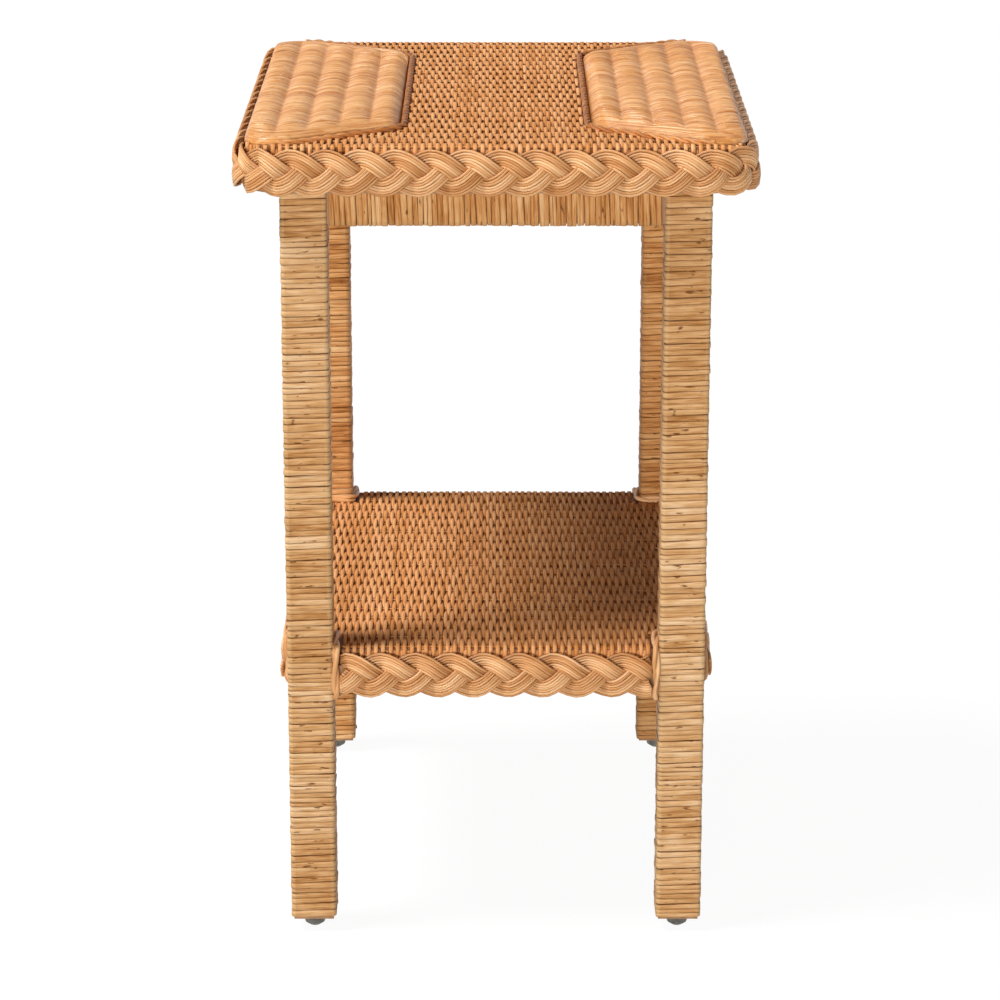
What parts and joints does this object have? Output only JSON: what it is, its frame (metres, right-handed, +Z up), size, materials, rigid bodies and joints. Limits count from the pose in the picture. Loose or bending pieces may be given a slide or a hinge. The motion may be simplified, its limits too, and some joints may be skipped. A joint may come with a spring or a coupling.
{
  "type": "rattan side table",
  "caption": "Free-standing wicker side table: square legs wound in rattan peel, woven top with ribbed end pads, plaited edge, open bay and a lower woven shelf.",
  "frame": {"origin": "on the floor, under the middle of the table", "axes": "+Z up, +X to the viewer's right, +Y to the back; the pictured front looks along -Y"},
  "size_m": [0.38, 0.456, 0.6155],
  "materials": {
    "hardwood": "planed, unfinished",
    "plywood": "sanded",
    "rattan_peel": "satin natural skin",
    "woven_reed": "satin clear lacquer",
    "plaited_reed": "satin clear lacquer",
    "laid_reed": "glossy clear lacquer",
    "reed_cord": "satin clear lacquer",
    "rattan_pole": "split and scraped",
    "steel": "dull zinc plate"
  },
  "bodies": {
    "root": {"apron_back": "hardwood", "apron_front": "hardwood", "apron_left": "hardwood", "apron_right": "hardwood", "apron_wrap_back": "rattan_peel", "apron_wrap_front": "rattan_peel", "apron_wrap_left": "rattan_peel", "apron_wrap_right": "rattan_peel", "corner_blocks": "hardwood", "foot_glides": "steel", "leg_back_left": "hardwood", "leg_back_right": "hardwood", "leg_corner_bands_back_left": "rattan_peel", "leg_corner_bands_back_right": "rattan_peel", "leg_corner_bands_front_left": "rattan_peel", "leg_corner_bands_front_right": "rattan_peel", "leg_front_left": "hardwood", "leg_front_right": "hardwood", "leg_wrap_lower_back_left": "rattan_peel", "leg_wrap_lower_back_right": "rattan_peel", "leg_wrap_lower_front_left": "rattan_peel", "leg_wrap_lower_front_right": "rattan_peel", "leg_wrap_upper_back_left": "rattan_peel", "leg_wrap_upper_back_right": "rattan_peel", "leg_wrap_upper_front_left": "rattan_peel", "leg_wrap_upper_front_right": "rattan_peel", "pad_border_left": "reed_cord", "pad_border_right": "reed_cord", "pad_cover_left": "laid_reed", "pad_cover_right": "laid_reed", "pad_ribs_left": "rattan_pole", "pad_ribs_right": "rattan_pole", "shelf_braid_back": "plaited_reed", "shelf_braid_front": "plaited_reed", "shelf_braid_left": "plaited_reed", "shelf_braid_right": "plaited_reed", "shelf_panel": "plywood", "shelf_rail_back": "hardwood", "shelf_rail_front": "hardwood", "shelf_rail_left": "hardwood", "shelf_rail_right": "hardwood", "shelf_tie_back_left": "reed_cord", "shelf_tie_back_right": "reed_cord", "shelf_tie_front_left": "reed_cord", "shelf_tie_front_right": "reed_cord", "shelf_weave": "woven_reed", "top_braid_strand_a": "plaited_reed", "top_braid_strand_b": "plaited_reed", "top_braid_strand_c": "plaited_reed", "top_edging_back": "hardwood", "top_edging_front": "hardwood", "top_edging_left": "hardwood", "top_edging_right": "hardwood", "top_panel": "plywood", "top_screws": "steel", "top_weave": "woven_reed"}
  },
  "joints": []
}
